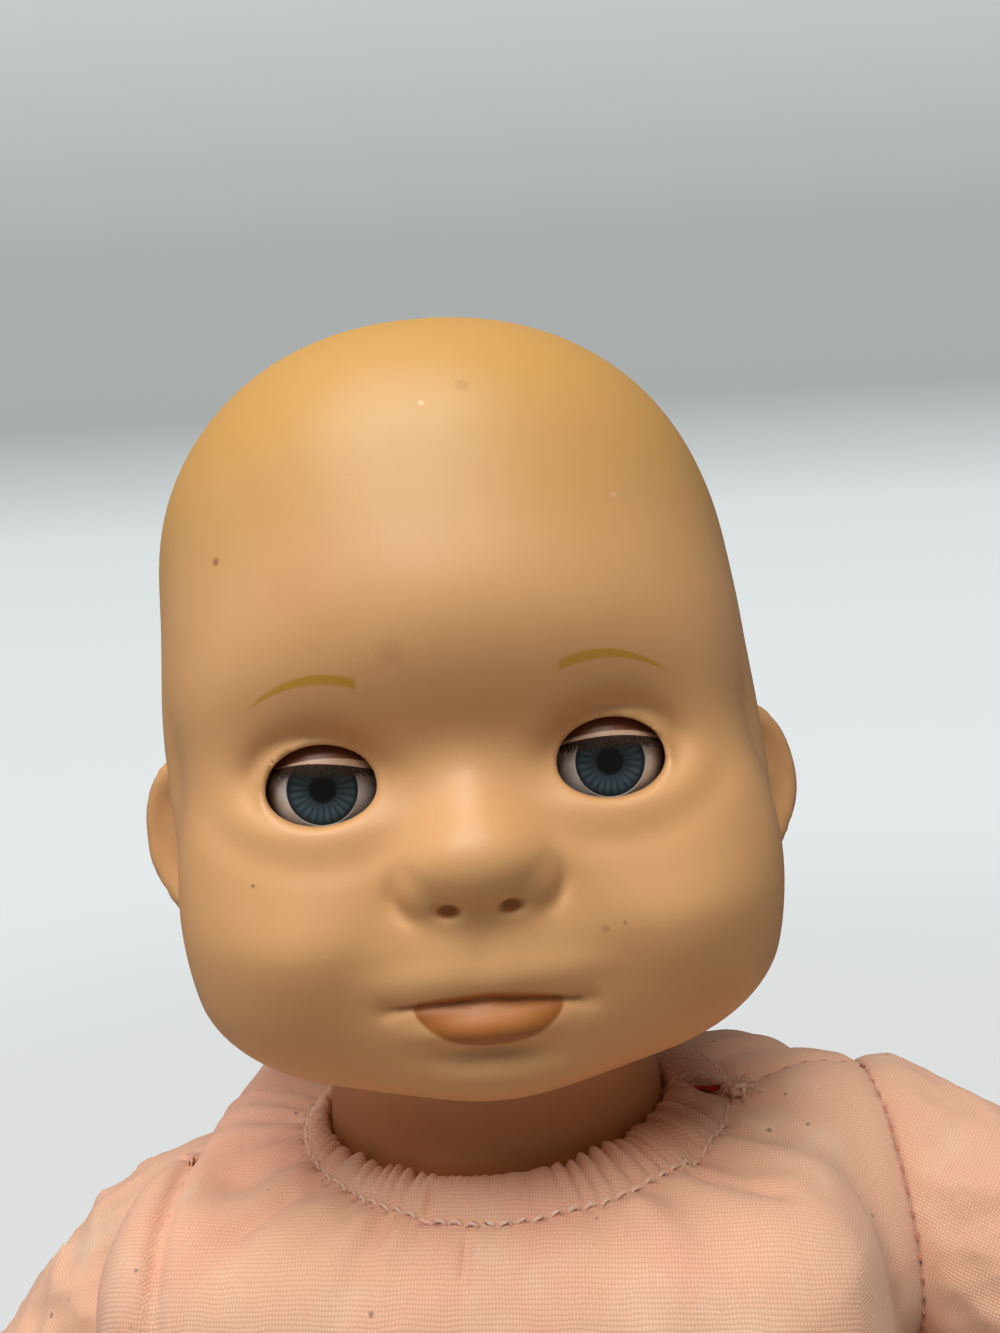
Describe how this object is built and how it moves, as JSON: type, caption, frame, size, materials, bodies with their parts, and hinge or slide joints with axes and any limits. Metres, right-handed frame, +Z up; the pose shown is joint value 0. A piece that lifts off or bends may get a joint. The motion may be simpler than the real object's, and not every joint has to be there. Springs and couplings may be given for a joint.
{
  "type": "baby doll",
  "caption": "Soft-bodied sitting baby doll: bald vinyl head with sleep eyes that close when laid back, cloth body, vinyl forearms and lower legs.",
  "frame": {"origin": "middle of the flat seat, on the surface that the doll sits on, under the neck axis", "axes": "+Z up; the body faces -Y; the doll's left side is +X"},
  "size_m": [0.3189, 0.2153, 0.2792],
  "materials": {
    "vinyl": "soft satin vinyl, flesh tone, hair paint on the crown",
    "cotton": "plain woven pink cotton, matt",
    "fibre": "loose polyester fibre",
    "pellets": "plastic pellets in a bag",
    "cord": "twisted cotton cord",
    "eye_white": "gloss",
    "lid_paint": "satin paint",
    "iris_print": "printed, blue grey",
    "clear_lens": "clear gloss plastic",
    "lash_hair": "fine bristle",
    "socket_plastic": "matt",
    "steel": "plain"
  },
  "bodies": {
    "body": {"body_front": "cotton", "body_back": "cotton", "body_stuffing": "fibre", "seat_pellet_bag": "pellets"},
    "neck_ring": {"neck_casing": "cotton", "neck_drawstring": "cord"},
    "head": {"head_shell": "vinyl", "eye_socket_left": "socket_plastic", "eye_socket_right": "socket_plastic"},
    "eye_left": {"eyeball_left": "eye_white", "eyelid_left": "lid_paint", "eye_iris_left": "iris_print", "eye_lens_left": "clear_lens", "eye_lashes_left": "lash_hair", "eye_pin_left": "steel", "eye_weight_left": "steel"},
    "arm_left": {"sleeve_left": "cotton", "sleeve_tie_left": "cord"},
    "lower_arm_left": {"forearm_left": "vinyl"},
    "leg_left": {"thigh_left": "cotton", "leg_tie_left": "cord"},
    "shin_left": {"lower_leg_left": "vinyl"},
    "eye_right": {"eyeball_right": "eye_white", "eyelid_right": "lid_paint", "eye_iris_right": "iris_print", "eye_lens_right": "clear_lens", "eye_lashes_right": "lash_hair", "eye_pin_right": "steel", "eye_weight_right": "steel"},
    "arm_right": {"sleeve_right": "cotton", "sleeve_tie_right": "cord"},
    "lower_arm_right": {"forearm_right": "vinyl"},
    "leg_right": {"thigh_right": "cotton", "leg_tie_right": "cord"},
    "shin_right": {"lower_leg_right": "vinyl"}
  },
  "joints": [
    {"name": "head_nod", "type": "hinge", "parent": "body", "child": "neck_ring", "pos_m": [0, 0, 0.137], "axis": [1, 0, 0], "range_deg": [-12, 12]},
    {"name": "head_turn", "type": "hinge", "parent": "neck_ring", "child": "head", "pos_m": [0, 0, 0.137], "axis": [0, 0, 1], "range_deg": [-80, 60]},
    {"name": "eye_left_close", "type": "hinge", "parent": "head", "child": "eye_left", "pos_m": [0.02568, -0.03045, 0.2034], "axis": [0.9848, 0.1736, 0], "range_deg": [0, 62]},
    {"name": "eye_right_close", "type": "hinge", "parent": "head", "child": "eye_right", "pos_m": [-0.01372, -0.03739, 0.2034], "axis": [0.9848, 0.1736, 0], "range_deg": [0, 62]},
    {"name": "shoulder_left_swing", "type": "hinge", "parent": "body", "child": "arm_left", "pos_m": [0.0665, 0.002, 0.123], "axis": [-1, 0, 0], "range_deg": [-60, 110]},
    {"name": "forearm_left_turn", "type": "hinge", "parent": "arm_left", "child": "lower_arm_left", "pos_m": [0.10964, -0.02094, 0.10521], "axis": [0.8297, -0.4412, -0.342], "range_deg": [-45, 45]},
    {"name": "shoulder_right_swing", "type": "hinge", "parent": "body", "child": "arm_right", "pos_m": [-0.064, 0.002, 0.11], "axis": [-1, 0, 0], "range_deg": [-60, 110]},
    {"name": "forearm_right_turn", "type": "hinge", "parent": "arm_right", "child": "lower_arm_right", "pos_m": [-0.09758, -0.01585, 0.07454], "axis": [-0.6457, -0.3433, -0.682], "range_deg": [-45, 45]},
    {"name": "hip_left_swing", "type": "hinge", "parent": "body", "child": "leg_left", "pos_m": [0.0315, -0.03, 0.0246], "axis": [-0.9781, -0.2079, 0], "range_deg": [-80, 25]},
    {"name": "shin_left_turn", "type": "hinge", "parent": "leg_left", "child": "shin_left", "pos_m": [0.04354, -0.08664, 0.02136], "axis": [0.2076, -0.9766, -0.0558], "range_deg": [-35, 35]},
    {"name": "hip_right_swing", "type": "hinge", "parent": "body", "child": "leg_right", "pos_m": [-0.0315, -0.03, 0.0246], "axis": [-0.9781, 0.2079, 0], "range_deg": [-80, 25]},
    {"name": "shin_right_turn", "type": "hinge", "parent": "leg_right", "child": "shin_right", "pos_m": [-0.04354, -0.08664, 0.02136], "axis": [-0.2076, -0.9766, -0.0558], "range_deg": [-35, 35]}
  ]
}
